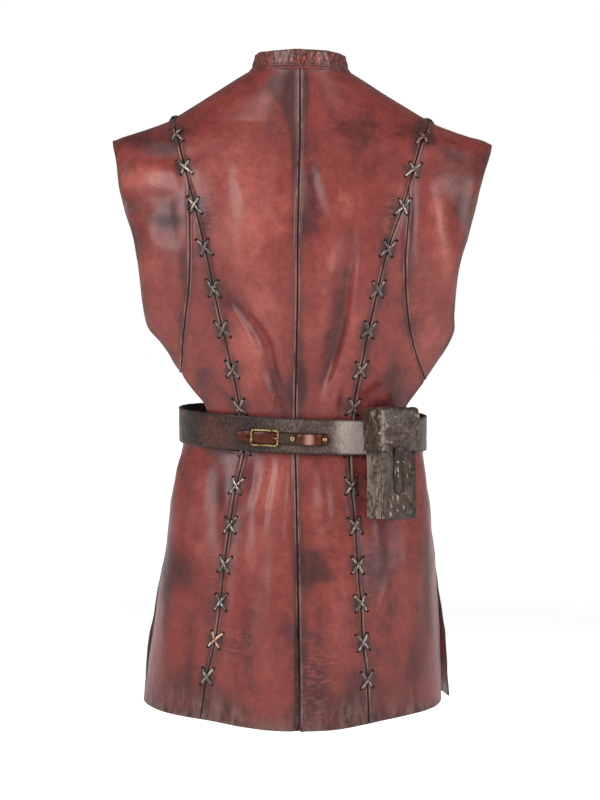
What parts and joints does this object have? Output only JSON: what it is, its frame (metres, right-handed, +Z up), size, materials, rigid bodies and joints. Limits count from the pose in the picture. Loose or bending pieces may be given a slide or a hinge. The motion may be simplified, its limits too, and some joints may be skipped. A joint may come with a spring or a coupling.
{
  "type": "leather vest with belt and belt pouch",
  "caption": "Hip-length sleeveless leather vest with wide shoulder caps, a short stand collar and thong-laced back seams, worn closed by its belt, with a small pouch on the belt.",
  "frame": {"origin": "base of the neck between the wearer's shoulders, at the height of the collar seam", "axes": "+Z up, +Y to the wearer's front, so the laced back faces -Y, and +X to the wearer's right"},
  "size_m": [0.5, 0.2701, 0.8723],
  "materials": {
    "vest_leather": "satin oxblood leather burnished dark grey along its seams and edges",
    "thong_leather": "satin dark brown flat thong",
    "belt_leather": "worn grained grey-brown leather",
    "strap_leather": "polished conker-brown leather",
    "pouch_leather": "mottled, crackled dark olive-brown leather",
    "brass": "aged satin"
  },
  "bodies": {
    "root": {"back_centre_left": "vest_leather", "back_side_left": "vest_leather", "skirt_side_left": "vest_leather", "cap_left": "vest_leather", "front_left": "vest_leather", "back_centre_right": "vest_leather", "back_side_right": "vest_leather", "skirt_side_right": "vest_leather", "cap_right": "vest_leather", "front_right": "vest_leather", "collar": "vest_leather", "lace_left_01": "thong_leather", "lace_left_02": "thong_leather", "lace_left_03": "thong_leather", "lace_left_04": "thong_leather", "lace_left_05": "thong_leather", "lace_left_06": "thong_leather", "lace_left_07": "thong_leather", "lace_left_08": "thong_leather", "lace_left_09": "thong_leather", "lace_left_10": "thong_leather", "lace_left_11": "thong_leather", "lace_left_12": "thong_leather", "lace_left_13": "thong_leather", "lace_left_14": "thong_leather", "lace_left_15": "thong_leather", "lace_left_16": "thong_leather", "lace_right_01": "thong_leather", "lace_right_02": "thong_leather", "lace_right_03": "thong_leather", "lace_right_04": "thong_leather", "lace_right_05": "thong_leather", "lace_right_06": "thong_leather", "lace_right_07": "thong_leather", "lace_right_08": "thong_leather", "lace_right_09": "thong_leather", "lace_right_10": "thong_leather", "lace_right_11": "thong_leather", "lace_right_12": "thong_leather", "lace_right_13": "thong_leather", "lace_right_14": "thong_leather", "lace_right_15": "thong_leather", "lace_right_16": "thong_leather", "belt": "belt_leather", "buckle_base": "belt_leather", "buckle_strap": "strap_leather", "strap_keeper": "strap_leather", "buckle_frame": "brass", "buckle_prong": "brass", "rivet_inner": "brass", "rivet_outer": "brass", "pouch_body": "pouch_leather", "pouch_lid": "pouch_leather", "pouch_loop": "pouch_leather", "pouch_tongue": "pouch_leather", "pouch_cord": "thong_leather", "pouch_stud_left": "brass", "pouch_stud_right": "brass"}
  },
  "joints": []
}
